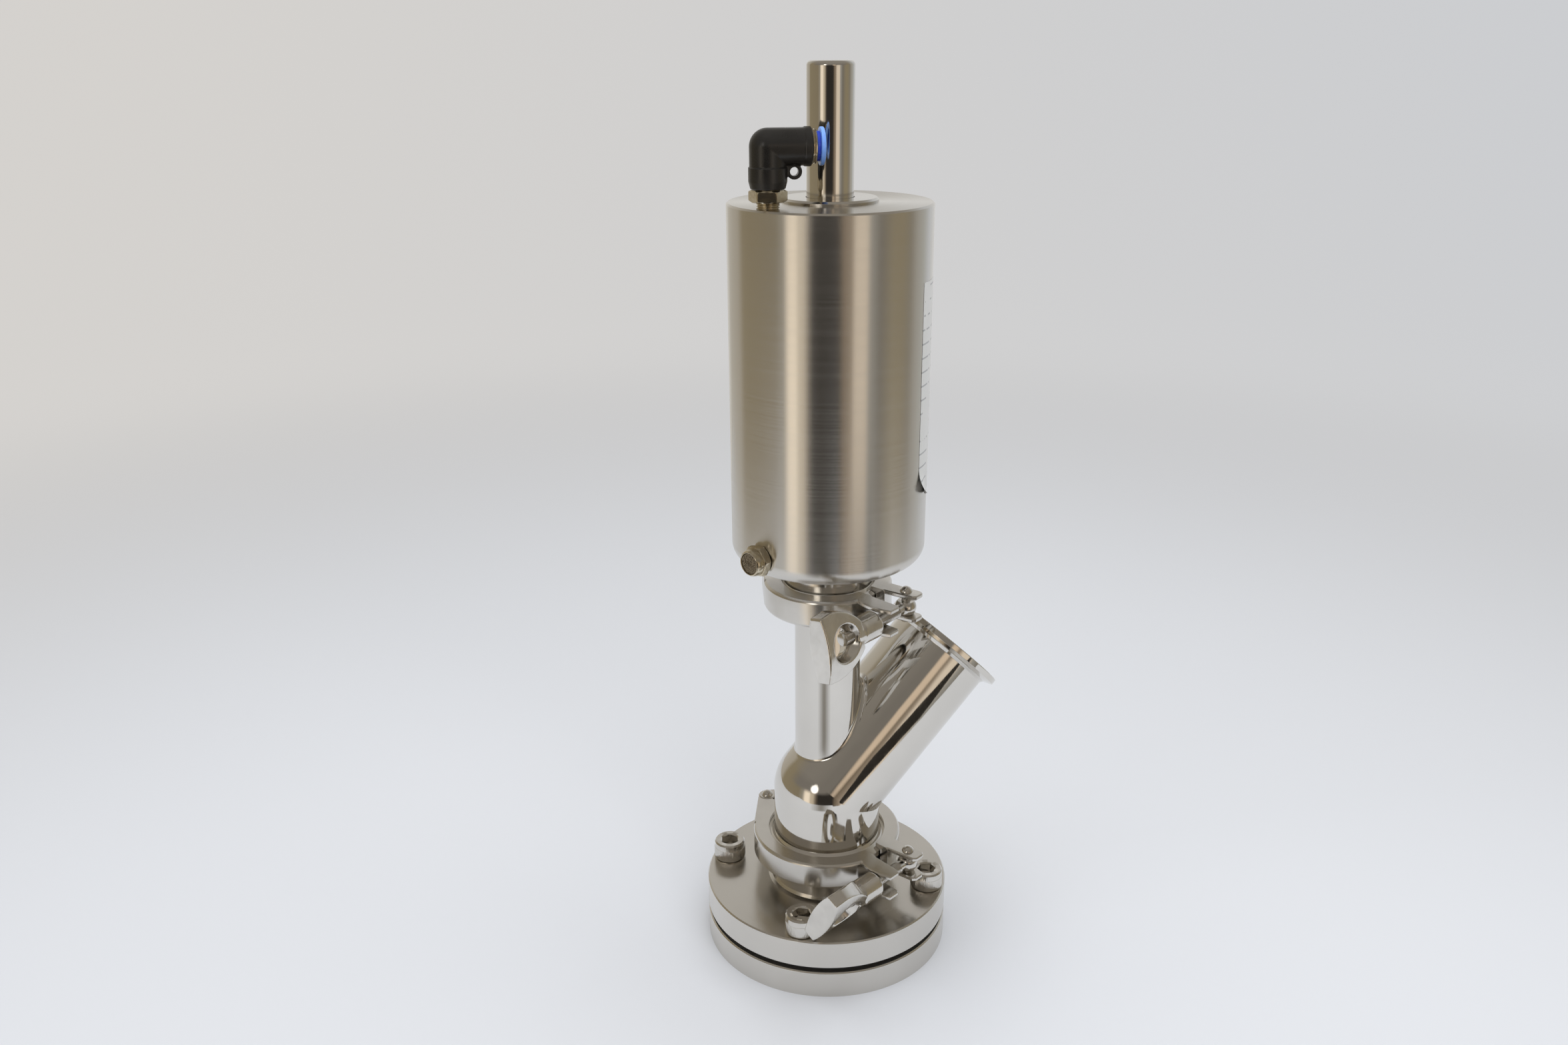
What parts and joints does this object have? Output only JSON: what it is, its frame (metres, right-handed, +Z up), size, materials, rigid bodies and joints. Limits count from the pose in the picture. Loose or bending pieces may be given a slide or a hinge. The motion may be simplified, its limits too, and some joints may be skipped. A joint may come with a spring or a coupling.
{
  "type": "pneumatic tank-bottom valve",
  "caption": "Sanitary plug valve with a spring-return cylinder actuator, an angled clamp outlet, hinged pipe clamps with wing nuts and a bolted tank flange.",
  "frame": {"origin": "valve axis at the tank flange's underside", "axes": "+Z up along the valve axis from the tank flange to the indicator rod, +X to the outlet branch's side, +Y towards the back"},
  "size_m": [0.1453, 0.1373, 0.4265],
  "materials": {
    "machined_steel": "fine turned satin",
    "brushed_steel": "satin, brushed around the axis",
    "polished_steel": "mirror polished",
    "turned_steel": "fine turned",
    "clamp_steel": "bead blasted with polished edges",
    "cast_steel": "tumbled investment casting",
    "screw_steel": "bright, cold formed",
    "spring_steel": "drawn wire",
    "piston_aluminium": "turned",
    "nickel_brass": "nickel plated",
    "sintered_bronze": "open grained",
    "black_plastic": "moulded, satin",
    "blue_plastic": "moulded, glossy",
    "bearing_plastic": "machined",
    "white_seal": "smooth fluoropolymer",
    "black_rubber": "matt",
    "label_film": "satin film"
  },
  "bodies": {
    "valve_frame": {"tank_pad": "machined_steel", "flange_gasket": "black_rubber", "body_flange": "machined_steel", "flange_screws": "screw_steel", "lower_joint_gasket": "black_rubber", "y_body": "polished_steel", "lower_clamp_front": "clamp_steel", "lower_clamp_back": "clamp_steel", "lower_clamp_hinge_pin": "screw_steel", "lower_clamp_bolt_pin": "screw_steel", "upper_clamp_front": "clamp_steel", "upper_clamp_back": "clamp_steel", "upper_clamp_hinge_pin": "screw_steel", "upper_clamp_bolt_pin": "screw_steel", "actuator_neck": "turned_steel", "bottom_cover": "brushed_steel", "actuator_barrel": "brushed_steel", "top_cover": "brushed_steel", "cover_seals": "black_rubber", "rod_gland": "turned_steel", "rod_bush": "bearing_plastic", "rod_seal": "black_rubber", "stem_bush": "bearing_plastic", "stem_seal": "white_seal", "stem_bellows": "white_seal", "return_spring": "spring_steel", "port_adapter": "nickel_brass", "vent_body": "nickel_brass", "vent_disc": "sintered_bronze", "side_label": "label_film"},
    "stem_assembly": {"plug": "polished_steel", "plug_seal": "white_seal", "stem": "turned_steel", "piston": "piston_aluminium", "piston_seal": "black_rubber", "piston_guide_ring": "bearing_plastic", "indicator_rod": "polished_steel"},
    "swivel_elbow": {"port_elbow": "black_plastic", "port_collar": "nickel_brass", "tube_seal": "black_rubber", "tube_grip": "spring_steel"},
    "release_ring": {"release_ring": "blue_plastic"},
    "lower_bolt": {"lower_eye_bolt": "screw_steel"},
    "lower_nut": {"lower_wing_nut": "cast_steel"},
    "upper_bolt": {"upper_eye_bolt": "screw_steel"},
    "upper_nut": {"upper_wing_nut": "cast_steel"}
  },
  "joints": [
    {"name": "stem_travel", "type": "slide", "parent": "valve_frame", "child": "stem_assembly", "axis": [0, 0, -1], "range_m": [0, 0.022], "stiffness_N_per_m": 2500, "springref_m": -0.05, "deforming": ["return_spring", "stem_bellows"]},
    {"name": "elbow_swivel", "type": "hinge", "parent": "valve_frame", "child": "swivel_elbow", "pos_m": [-0.02556, -0.02839, 0.3689], "axis": [0, 0, 1], "continuous": true},
    {"name": "release_ring_push", "type": "slide", "parent": "swivel_elbow", "child": "release_ring", "axis": [-0.9863, -0.165, 0], "range_m": [0, 0.0014], "stiffness_N_per_m": 600, "springref_m": -0.001},
    {"name": "lower_bolt_swing", "type": "hinge", "parent": "valve_frame", "child": "lower_bolt", "pos_m": [0.04015, -0.02229, 0.05095], "axis": [0, 0, 1], "range_deg": [0, 90]},
    {"name": "lower_nut_spin", "type": "hinge", "parent": "lower_bolt", "child": "lower_nut", "pos_m": [0.04015, -0.02229, 0.05095], "axis": [-0.6691, -0.7431, 0], "continuous": true},
    {"name": "upper_bolt_swing", "type": "hinge", "parent": "valve_frame", "child": "upper_bolt", "pos_m": [0.03628, -0.01553, 0.1855], "axis": [0, 0, 1], "range_deg": [0, 90]},
    {"name": "upper_nut_spin", "type": "hinge", "parent": "upper_bolt", "child": "upper_nut", "pos_m": [0.03628, -0.01553, 0.1855], "axis": [-0.6198, -0.7848, 0], "continuous": true}
  ]
}
